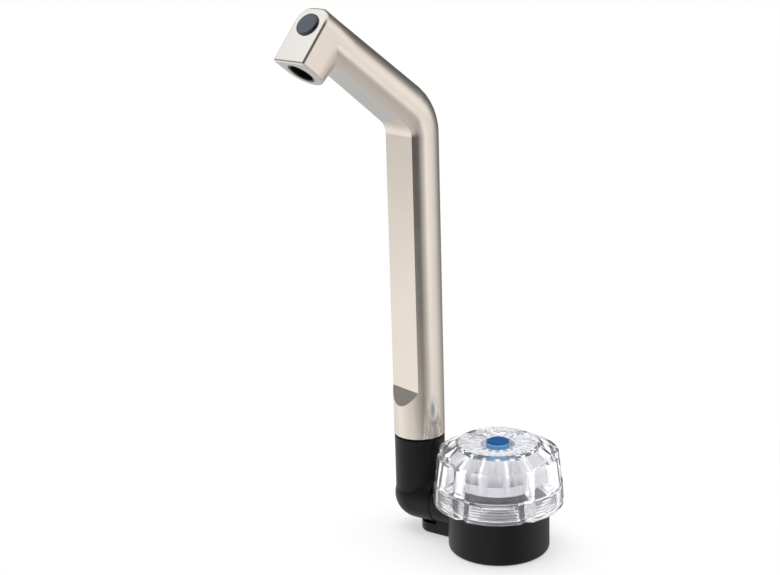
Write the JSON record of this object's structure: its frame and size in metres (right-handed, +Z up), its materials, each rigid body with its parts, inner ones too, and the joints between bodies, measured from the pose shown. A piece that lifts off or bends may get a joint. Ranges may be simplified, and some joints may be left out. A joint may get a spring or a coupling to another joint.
{
  "type": "cold water tap",
  "caption": "Pillar tap for cold water with a clear knob, a side elbow that folds and swivels, and a tall angled spout.",
  "frame": {"origin": "axis of the round base at its underside, which is also the mouth of the threaded inlet", "axes": "+Z up along the knob's axis; the spout's column stands at -X; -Y is the side the spout mostly points to"},
  "size_m": [0.0736, 0.0697, 0.1812],
  "materials": {
    "tap_body": "satin black",
    "base_gasket": "matte",
    "inlet_insert": "machined",
    "spigot_rings": "matte",
    "headwork_bonnet": "machined",
    "bonnet_ring": "matte",
    "spindle": "machined",
    "spindle_rings": "matte",
    "spindle_circlip": "machined",
    "plunger": "machined",
    "valve_washer": "matte",
    "washer_screw": "machined",
    "knob": "clear acrylic, polished",
    "knob_hub": "pale grey, slightly translucent",
    "knob_screw": "machined",
    "cold_cap": "blue",
    "elbow": "satin black",
    "elbow_pins": "machined",
    "spout_adapter": "matte black",
    "adapter_rings": "matte",
    "spout_retainer": "white acetal",
    "spout_shell": "satin nickel plating over plastic",
    "spout_cover": "satin nickel plating over plastic",
    "water_tube": "pale plastic tube",
    "nozzle_insert": "matte black",
    "nozzle_ring": "matte",
    "flow_disc": "matte black",
    "end_disc": "plain dark blue-grey"
  },
  "bodies": {
    "body": {"tap_body": "tap_body", "base_gasket": "base_gasket", "inlet_insert": "inlet_insert", "spigot_rings": "spigot_rings", "headwork_bonnet": "headwork_bonnet", "bonnet_ring": "bonnet_ring"},
    "knob": {"knob": "knob", "knob_hub": "knob_hub", "knob_screw": "knob_screw", "cold_cap": "cold_cap", "spindle": "spindle", "spindle_rings": "spindle_rings", "spindle_circlip": "spindle_circlip"},
    "plunger": {"plunger": "plunger", "valve_washer": "valve_washer", "washer_screw": "washer_screw"},
    "elbow": {"elbow": "elbow", "elbow_pins": "elbow_pins"},
    "spout": {"spout_adapter": "spout_adapter", "adapter_rings": "adapter_rings", "spout_retainer": "spout_retainer", "spout_shell": "spout_shell", "spout_cover": "spout_cover", "water_tube": "water_tube", "nozzle_insert": "nozzle_insert", "nozzle_ring": "nozzle_ring", "flow_disc": "flow_disc", "end_disc": "end_disc"}
  },
  "joints": [
    {"name": "knob_turn", "type": "hinge", "parent": "body", "child": "knob", "pos_m": [0, 0, 0.03], "axis": [0, 0, 1], "range_deg": [0, 450]},
    {"name": "plunger_slide", "type": "slide", "parent": "body", "child": "plunger", "axis": [0, 0, 1], "range_m": [0, 0.00251]},
    {"name": "elbow_fold", "type": "hinge", "parent": "body", "child": "elbow", "pos_m": [-0.0225, 0, 0.0128], "axis": [-1, 0, 0], "range_deg": [0, 90]},
    {"name": "spout_swivel", "type": "hinge", "parent": "elbow", "child": "spout", "pos_m": [-0.0312, 0, 0.0345], "axis": [0, 0, 1], "range_deg": [-68, 101]}
  ],
  "couplings": [
    {"joint": "plunger_slide", "follows": "knob_turn", "m_per_rad": 0.00031831}
  ]
}
